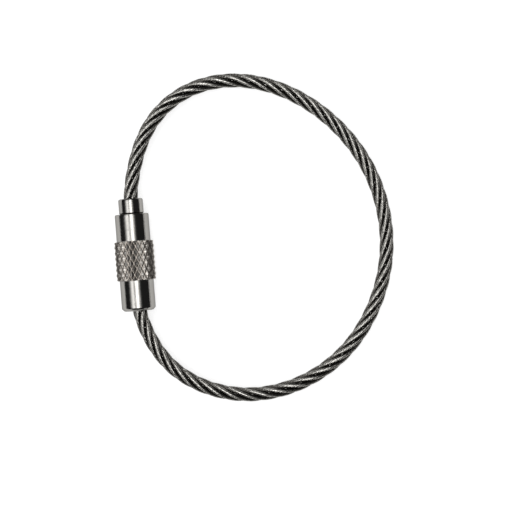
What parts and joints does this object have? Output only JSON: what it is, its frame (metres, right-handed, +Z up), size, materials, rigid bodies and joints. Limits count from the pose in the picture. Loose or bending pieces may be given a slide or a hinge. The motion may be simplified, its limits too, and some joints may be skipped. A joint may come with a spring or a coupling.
{
  "type": "wire rope key ring",
  "caption": "Small loop of stainless steel wire rope, closed by a knurled barrel that screws onto a threaded stud; unscrewing it opens the loop for keys.",
  "frame": {"origin": "on the table under the middle of the clasp, which is the barrel and the stud's collar", "axes": "+Y along the barrel's axis from its rope end to its mouth and on to the stud's collar; +X from the barrel towards the far side of the rope loop; +Z up from the table that the loop lies on"},
  "size_m": [0.0479, 0.0563, 0.0068],
  "materials": {
    "turned_steel": "polished, fine turning rings",
    "ferrule": "crimped, satin",
    "rope_wire": "drawn wire"
  },
  "bodies": {
    "rope_foot": {"stop_ferrule": "ferrule", "core_strand_lower_end": "rope_wire", "outer_strand_1_lower_end": "rope_wire", "outer_strand_2_lower_end": "rope_wire", "outer_strand_3_lower_end": "rope_wire", "outer_strand_4_lower_end": "rope_wire", "outer_strand_5_lower_end": "rope_wire", "outer_strand_6_lower_end": "rope_wire"},
    "barrel": {"barrel": "turned_steel"},
    "lower_rope": {"core_strand_lower_arc": "rope_wire", "outer_strand_1_lower_arc": "rope_wire", "outer_strand_2_lower_arc": "rope_wire", "outer_strand_3_lower_arc": "rope_wire", "outer_strand_4_lower_arc": "rope_wire", "outer_strand_5_lower_arc": "rope_wire", "outer_strand_6_lower_arc": "rope_wire"},
    "upper_rope": {"core_strand_upper_arc": "rope_wire", "outer_strand_1_upper_arc": "rope_wire", "outer_strand_2_upper_arc": "rope_wire", "outer_strand_3_upper_arc": "rope_wire", "outer_strand_4_upper_arc": "rope_wire", "outer_strand_5_upper_arc": "rope_wire", "outer_strand_6_upper_arc": "rope_wire"},
    "stud_end": {"threaded_stud": "turned_steel", "core_strand_upper_end": "rope_wire", "outer_strand_1_upper_end": "rope_wire", "outer_strand_2_upper_end": "rope_wire", "outer_strand_3_upper_end": "rope_wire", "outer_strand_4_upper_end": "rope_wire", "outer_strand_5_upper_end": "rope_wire", "outer_strand_6_upper_end": "rope_wire"}
  },
  "joints": [
    {"name": "barrel_spin", "type": "hinge", "parent": "rope_foot", "child": "barrel", "pos_m": [0, 0, 0.0034], "axis": [0, -1, 0], "range_deg": [0, 5130]},
    {"name": "flex_lower", "type": "hinge", "parent": "rope_foot", "child": "lower_rope", "pos_m": [0.00062, -0.01193, 0.00337], "axis": [0.0503, 0, 0.9987], "range_deg": [0, 7]},
    {"name": "flex_far", "type": "hinge", "parent": "lower_rope", "child": "upper_rope", "pos_m": [0.04327, 0.00004, 0.00122], "axis": [-0.0503, 0, -0.9987], "range_deg": [0, 14]},
    {"name": "flex_upper", "type": "hinge", "parent": "upper_rope", "child": "stud_end", "pos_m": [0.00038, 0.01199, 0.00338], "axis": [0.0503, 0, 0.9987], "range_deg": [0, 7]}
  ],
  "couplings": [
    {"joint": "flex_lower", "follows": "barrel_spin", "ratio": 0.0013094},
    {"joint": "flex_far", "follows": "barrel_spin", "ratio": 0.0026188},
    {"joint": "flex_upper", "follows": "barrel_spin", "ratio": 0.0013094}
  ]
}
